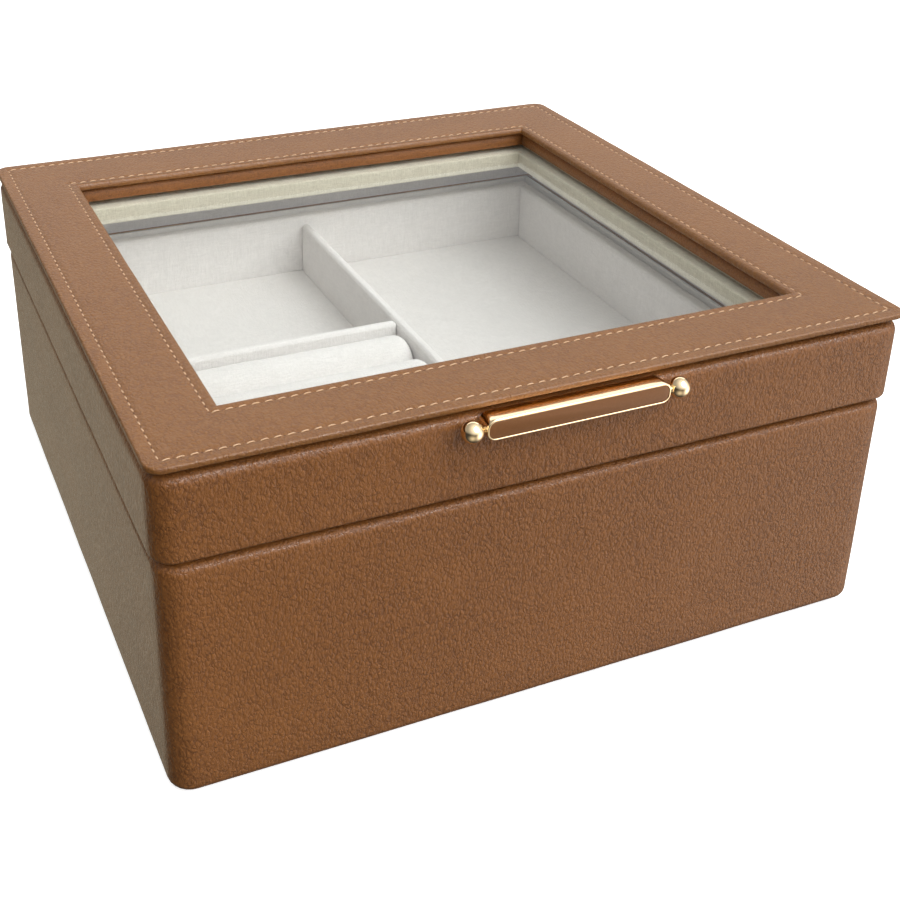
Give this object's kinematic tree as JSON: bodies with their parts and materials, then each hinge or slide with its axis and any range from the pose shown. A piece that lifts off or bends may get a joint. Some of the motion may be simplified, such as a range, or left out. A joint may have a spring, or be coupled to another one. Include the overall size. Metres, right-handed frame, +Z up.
{
  "type": "jewellery case",
  "caption": "Square leather jewellery case with a hinged lid, stitched frame round a glass window, gilt front handle and a lift-out lined tray with ring rolls.",
  "frame": {"origin": "centre of the underside, on the surface that the case stands on", "axes": "+Z up, -Y towards the front with the handle, +X to the right seen from the front"},
  "size_m": [0.2556, 0.2649, 0.116],
  "materials": {
    "leather_side": "pebble-grain tan leather, satin",
    "leather_top": "smooth-grain tan leather, satin, stitched",
    "leather_inlay": "smooth brown leather inlay",
    "stitching": "waxed tan thread",
    "board": "raw fibreboard",
    "lining": "cream linen-look lining",
    "ring_roll": "cream suedette over foam",
    "retainer_lining": "beige linen-look lining",
    "lip_lining": "grey-mauve felt strip",
    "underside": "brown flocked sheet",
    "glass": "clear float glass",
    "gold": "polished light gold plate",
    "brass": "polished brass"
  },
  "bodies": {
    "base": {"base_front_board": "board", "base_back_board": "board", "base_left_board": "board", "base_right_board": "board", "base_bottom_board": "board", "base_leather": "leather_side", "underside_panel": "underside", "base_lining_front": "lining", "base_lining_back": "lining", "base_lining_left": "lining", "base_lining_right": "lining", "base_floor_pad": "lining", "tray_ledge_left": "lining", "tray_ledge_right": "lining", "hinge_base_leaf_left": "brass", "hinge_base_leaf_right": "brass", "hinge_pins": "brass", "hinge_screws_base": "brass"},
    "tray": {"tray_floor_board": "lining", "tray_front_wall": "lining", "tray_back_wall": "lining", "tray_left_wall": "lining", "tray_right_wall": "lining", "tray_long_divider": "lining", "tray_cross_divider": "lining", "tray_pad_rear_left": "lining", "tray_pad_right": "lining", "ring_roll_1": "ring_roll", "ring_roll_2": "ring_roll", "ring_roll_3": "ring_roll", "ring_roll_4": "ring_roll", "ring_roll_5": "ring_roll"},
    "lid": {"lid_front_board": "board", "lid_back_board": "board", "lid_left_board": "board", "lid_right_board": "board", "lid_leather": "leather_side", "top_frame_board": "board", "top_frame_leather": "leather_top", "glass_bead_front": "leather_top", "glass_bead_back": "leather_top", "glass_bead_left": "leather_top", "glass_bead_right": "leather_top", "glass_pane": "glass", "glass_retainer_front": "retainer_lining", "glass_retainer_back": "retainer_lining", "glass_retainer_left": "retainer_lining", "glass_retainer_right": "retainer_lining", "lid_lip_front": "lip_lining", "lid_lip_back": "lip_lining", "lid_lip_left": "lip_lining", "lid_lip_right": "lip_lining", "handle_bar": "gold", "handle_inlay": "leather_inlay", "handle_ball_left": "gold", "handle_ball_right": "gold", "handle_screws": "brass", "hinge_lid_leaf_left": "brass", "hinge_lid_leaf_right": "brass", "hinge_screws_lid": "brass"}
  },
  "joints": [
    {"name": "lid_hinge", "type": "hinge", "parent": "base", "child": "lid", "pos_m": [0, 0.1282, 0.08365], "axis": [-1, 0, 0], "range_deg": [0, 100]},
    {"name": "tray_lift", "type": "slide", "parent": "base", "child": "tray", "axis": [0, 0, 1], "range_m": [0, 0.01]}
  ]
}
